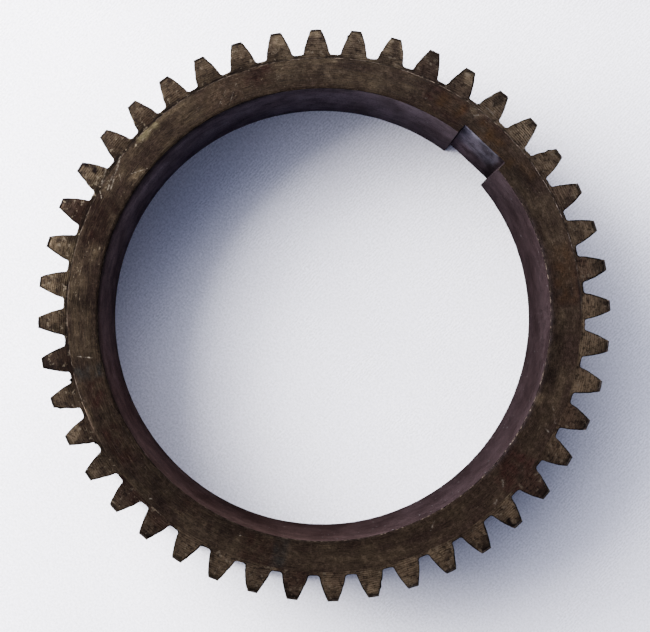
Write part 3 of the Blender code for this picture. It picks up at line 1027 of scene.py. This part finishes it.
def bore_steel():
    """Bore wall: blackened, dry and cloudy, with faint streaks, pale specks and a mottled keyway."""
    nodes = Nodes("blackened_bore_steel", bpy.data.materials)
    place = nodes.place()
    painted = nodes.paint()[0]
    rubs = nodes.ring_noise(12.0, 2.2, 4.0, 0.65)
    haze = nodes.noise(place, 0.35, 3.0, 0.6)
    specks = nodes.noise(place, 3.0, 3.0, 0.6)
    tone = nodes.total(
        nodes.spread(rubs, 0.82, 1.24),
        nodes.ranged(haze, 0.35, 0.7, -0.12, 0.30),
        nodes.spread(specks, -0.25, 0.3),
    )
    in_keyway = nodes.ranged(nodes.from_axis()[0], 46.3, 46.7)
    mottling = nodes.ranged(nodes.noise(place, 0.45, 4.0, 0.6), 0.36, 0.62, -0.38, 0.26)
    tone = nodes.maths("MULTIPLY_ADD", in_keyway, mottling, tone)
    colour = nodes.scaled(painted, nodes.maths("MAXIMUM", tone, 0.2))
    dust = nodes.ranged(nodes.noise(place, 1.9, 0.0), 0.80, 0.88, 0.0, 0.35)
    colour = nodes.mix(dust, colour, DUST)
    roughness = nodes.ranged(haze, 0.35, 0.65, 0.72, 0.55)
    height = nodes.total(rubs, nodes.times(specks, 0.7))
    return nodes.finish(colour, roughness, height, 0.04 * MM, 0.0, 0.0)


# ---- Cloth, light and camera ----


def level_direction(azimuth):
    """The level direction at this angle in radians from +X."""
    return Vector((math.cos(azimuth), math.sin(azimuth), 0))


CLOTH_COLOUR = (0.805, 0.79, 0.86)
CLOTH_SIZE = 12.0
CLOTH_GAP = 0.05 * MM
# How far apart the ribs are, in mm, how much they wander, and the side on which they show the most.
RIB_PITCH = 0.65
RIB_WANDER = 1.5
RIB_SIDE = level_direction(math.radians(88))
RIB_GROWTH = 0.0035


def cloth_material():
    """Pale cotton with fine threads and faint diagonal ribs."""
    nodes = Nodes("pale_cotton_twill", bpy.data.materials)
    place = nodes.place()
    across = nodes.dot(place, (1, 0, 0))
    run = nodes.maths("MULTIPLY_ADD", nodes.noise(place, 0.8, 3.0), RIB_WANDER, across)
    ribs = nodes.maths("SINE", nodes.times(run, 2 * math.pi / RIB_PITCH))
    towards = nodes.dot(place, RIB_SIDE)
    patches = nodes.maths("MULTIPLY_ADD", towards, RIB_GROWTH, nodes.noise(place, 0.10, 2.0))
    plainness = nodes.ranged(patches, 0.42, 0.68, 0.02, 0.30)
    threads = nodes.maths("MULTIPLY_ADD", nodes.noise(place, 2.1, 2.0, 0.7), 2.4, -0.70)
    weave = nodes.maths("MULTIPLY_ADD", ribs, plainness, threads)
    creases = nodes.spread(nodes.noise(place, 0.03, 2.0), -0.03, 0.03)
    shade = nodes.total(nodes.ranged(weave, -0.2, 1.2, 0.79, 1.17), creases)
    return nodes.finish(nodes.scaled(CLOTH_COLOUR, shade), 0.9, weave, 0.006 * MM, 0.0, 0.1)


def new_object(name, data):
    """A new object in the scene."""
    made = bpy.data.objects.new(name, data)
    bpy.context.scene.collection.objects.link(made)
    return made


def add_cloth():
    """The plain pale floor, just under the gear's lower thrust face."""
    half = CLOTH_SIZE / 2
    z = float(GEAR_LOW[2]) - CLOTH_GAP
    corners = [(-half, -half, z), (half, -half, z), (half, half, z), (-half, half, z)]
    mesh = bpy.data.meshes.new("cloth")
    mesh.from_pydata(corners, [], [(0, 1, 2, 3)])
    mesh.materials.append(cloth_material())
    cloth = new_object("cloth", mesh)


# The camera stands almost over the gear, turned so that the keyway shows at the upper right.
CAMERA_PLACE = Vector((0.000715, -0.009047, 0.217479))
CAMERA_TURN = math.radians(43.274)
CAMERA_TILT = Vector((0.01388, -0.00483, 0.0))
CAMERA_LENS = 54.06
CAMERA_SHIFT = (0.03646, 0.02957)


def add_camera():
    """The photograph's view."""
    data = bpy.data.cameras.new("camera")
    data.sensor_width = 36
    data.lens = CAMERA_LENS
    data.shift_x, data.shift_y = CAMERA_SHIFT
    data.clip_start = 0.01
    camera = new_object("camera", data)
    tilt = Matrix.Rotation(CAMERA_TILT.length, 4, CAMERA_TILT.normalized())
    turn = Matrix.Rotation(CAMERA_TURN, 4, "Z")
    camera.matrix_world = Matrix.Translation(CAMERA_PLACE) @ turn @ tilt
    bpy.context.scene.camera = camera


# The light comes from low on the photograph's left: a bright window, softened by a larger, dimmer
# one round it, and the glow of the room on that side. Width and height, then power in watts.
WINDOW_AZIMUTH = math.radians(196)
WINDOW_DISTANCE = 0.48
WINDOW_CENTRE = 0.06
WINDOW_PARTS = [(0.46, 38), (0.84, 52)]
WINDOW_GAP = 0.01
WINDOW_COLOUR = (1.0, 0.985, 0.965)


def add_window():
    """Two round area lights, one just behind the other."""
    across = level_direction(WINDOW_AZIMUTH)
    for index, (size, power) in enumerate(WINDOW_PARTS):
        data = bpy.data.lights.new("window", "AREA")
        data.shape = "DISK"
        data.size = size
        data.energy = power
        data.color = WINDOW_COLOUR
        window = new_object("window", data)
        window.location = across * (WINDOW_DISTANCE + WINDOW_GAP * index) + Vector((0, 0, WINDOW_CENTRE))
        window.rotation_euler = (-across).to_track_quat("-Z", "Y").to_euler()
        window.visible_camera = False


# Heights here are the upward parts of a view direction, from 0 level to 1 straight up.
ROOM_COLOUR = (0.098, 0.136, 0.268)
HORIZON_COLOUR = (0.50, 0.48, 0.42)
HORIZON_HEIGHTS = (0.06, 0.34)
OVERHEAD_COLOUR = (0.24, 0.185, 0.08)
OVERHEAD_HEIGHTS = (0.72, 0.92)
OVERHEAD_EDGES = (-0.28, 0.16)
GLOW_COLOUR = (7.4, 7.6, 8.6)
GLOW_AZIMUTH = math.radians(181)
GLOW_EDGE = math.cos(math.radians(101))
GLOW_HEIGHTS = (0.58, 0.95)


def add_room():
    """Dim bluish light all round, a warmer patch high on the far side, and a glow low on the window's."""
    nodes = Nodes("room", bpy.data.worlds)
    view = nodes.add("ShaderNodeTexCoord").outputs["Generated"]
    height = nodes.dot(view, (0, 0, 1))
    facing = nodes.dot(view, level_direction(GLOW_AZIMUTH))
    low = nodes.ranged(height, *GLOW_HEIGHTS, 1.0, 0.0)
    glow = nodes.scaled(GLOW_COLOUR, nodes.times(nodes.ranged(facing, GLOW_EDGE, 1.0), low))
    high = nodes.ranged(height, *OVERHEAD_HEIGHTS)
    far = nodes.ranged(facing, *OVERHEAD_EDGES, 1.0, 0.0)
    overhead = nodes.scaled(OVERHEAD_COLOUR, nodes.times(high, far))
    horizon = nodes.scaled(HORIZON_COLOUR, nodes.ranged(height, *HORIZON_HEIGHTS, 1.0, 0.0))
    light = nodes.vectors("ADD", glow, ROOM_COLOUR)
    for other in (overhead, horizon):
        light = nodes.vectors("ADD", light, other)
    background = nodes.add("ShaderNodeBackground", {"Color": light})
    nodes.add("ShaderNodeOutputWorld", {"Surface": background.outputs[0]})
    bpy.context.scene.world = nodes.holder


def add_ring_gear():
    """The detailed gear, which stands for the CAD node."""
    mesh, rows, zones = ring_mesh()
    paint_mesh(mesh, rows, zones)
    for material in (thrust_steel(), tooth_face_steel(), wall_steel(), bore_steel(), edge_grime_and_shade()):
        mesh.materials.append(material)
    gear = new_object("ring_gear_detail", mesh)
    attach(gear, "root")
    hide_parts("ring_gear")


add_camera()
add_cloth()
add_window()
add_room()
add_ring_gear()
